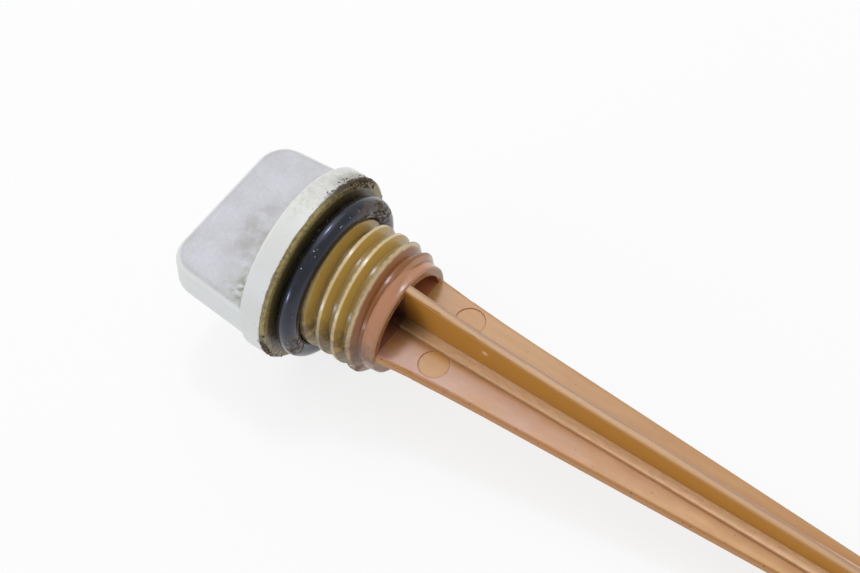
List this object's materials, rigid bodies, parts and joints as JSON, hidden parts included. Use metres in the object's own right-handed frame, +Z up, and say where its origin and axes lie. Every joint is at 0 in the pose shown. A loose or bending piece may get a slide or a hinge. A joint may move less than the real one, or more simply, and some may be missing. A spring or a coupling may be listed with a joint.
{
  "type": "engine oil dipstick",
  "caption": "Screw-in engine oil dipstick: nylon moulding with a flat grip, flange, coarse thread and long tapered ribbed blade, sealed by a rubber ring under the flange.",
  "frame": {"origin": "on the table, under the middle of the part's bounding box as it lies", "axes": "+Z up; +X along the part from the grip to the blade's tip, seen from above; the part lies on its flange's front rim and its blade's tip, so its own axis dips by about 6 degrees towards +X"},
  "size_m": [0.1438, 0.0286, 0.0289],
  "materials": {
    "nylon": "satin moulded, grey-white at the grip and stained amber by oil along the thread and blade",
    "seal_rubber": "dull black with dust and oil"
  },
  "bodies": {
    "root": {"dipstick_moulding": "nylon", "o_ring": "seal_rubber"}
  },
  "joints": []
}
